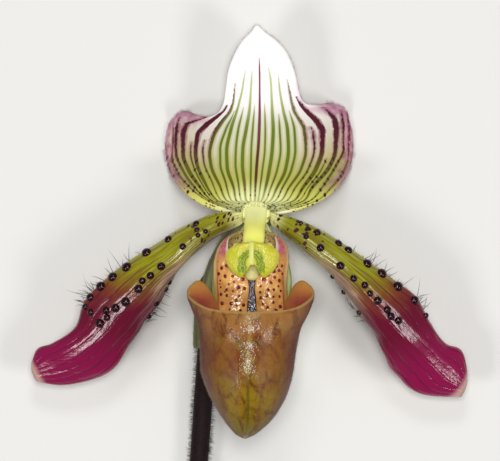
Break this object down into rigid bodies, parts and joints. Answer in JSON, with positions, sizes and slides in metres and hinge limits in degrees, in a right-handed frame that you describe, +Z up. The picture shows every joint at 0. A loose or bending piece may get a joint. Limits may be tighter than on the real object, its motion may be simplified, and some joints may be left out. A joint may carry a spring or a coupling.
{
  "type": "paphiopedilum orchid",
  "caption": "Slipper orchid flower on a short cut stem, with a pouch, drooping warty petals and an upright striped sepal, laid on its back.",
  "frame": {"origin": "on the table, under the middle of the flower's and stem's bounding box", "axes": "+Y towards the tip of the dorsal sepal, +X to the right as the flower is seen from the front, +Z up from the table, the way the flower faces"},
  "size_m": [0.0972, 0.12, 0.0424],
  "materials": {
    "dorsal_sepal": "satin",
    "synsepal": "satin",
    "petal_left": "gloss",
    "petal_right": "gloss",
    "lip": "gloss",
    "column": "satin",
    "staminode": "gloss",
    "pollinium_left": "satin",
    "pollinium_right": "satin",
    "ovary": "satin",
    "scape": "satin",
    "bract": "satin"
  },
  "bodies": {
    "root": {"dorsal_sepal": "dorsal_sepal", "synsepal": "synsepal", "petal_left": "petal_left", "petal_right": "petal_right", "lip": "lip", "column": "column", "staminode": "staminode", "pollinium_left": "pollinium_left", "pollinium_right": "pollinium_right", "ovary": "ovary", "scape": "scape", "bract": "bract"}
  },
  "joints": []
}
